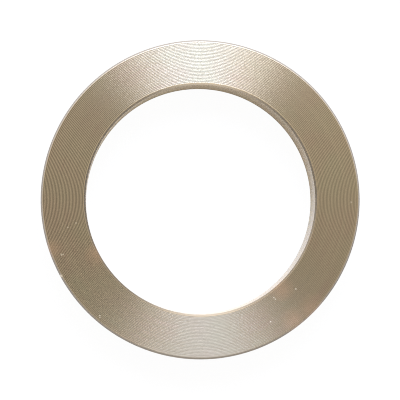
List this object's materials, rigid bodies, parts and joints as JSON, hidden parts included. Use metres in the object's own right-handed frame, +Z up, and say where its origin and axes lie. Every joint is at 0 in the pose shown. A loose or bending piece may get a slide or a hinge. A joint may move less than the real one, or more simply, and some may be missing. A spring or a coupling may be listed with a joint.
{
  "type": "flat washer",
  "caption": "Flat turned washer of yellow copper alloy with rounded outside edges, a chamfered bore and fine turning marks on both faces.",
  "frame": {"origin": "centre of the lower face, on the axis of the bore", "axes": "+Z up along the axis of the bore, from the lower face to the upper face"},
  "size_m": [0.025, 0.025, 0.004],
  "materials": {
    "turned_brass": "fine-turned, slightly tarnished"
  },
  "bodies": {
    "root": {"washer": "turned_brass"}
  },
  "joints": []
}
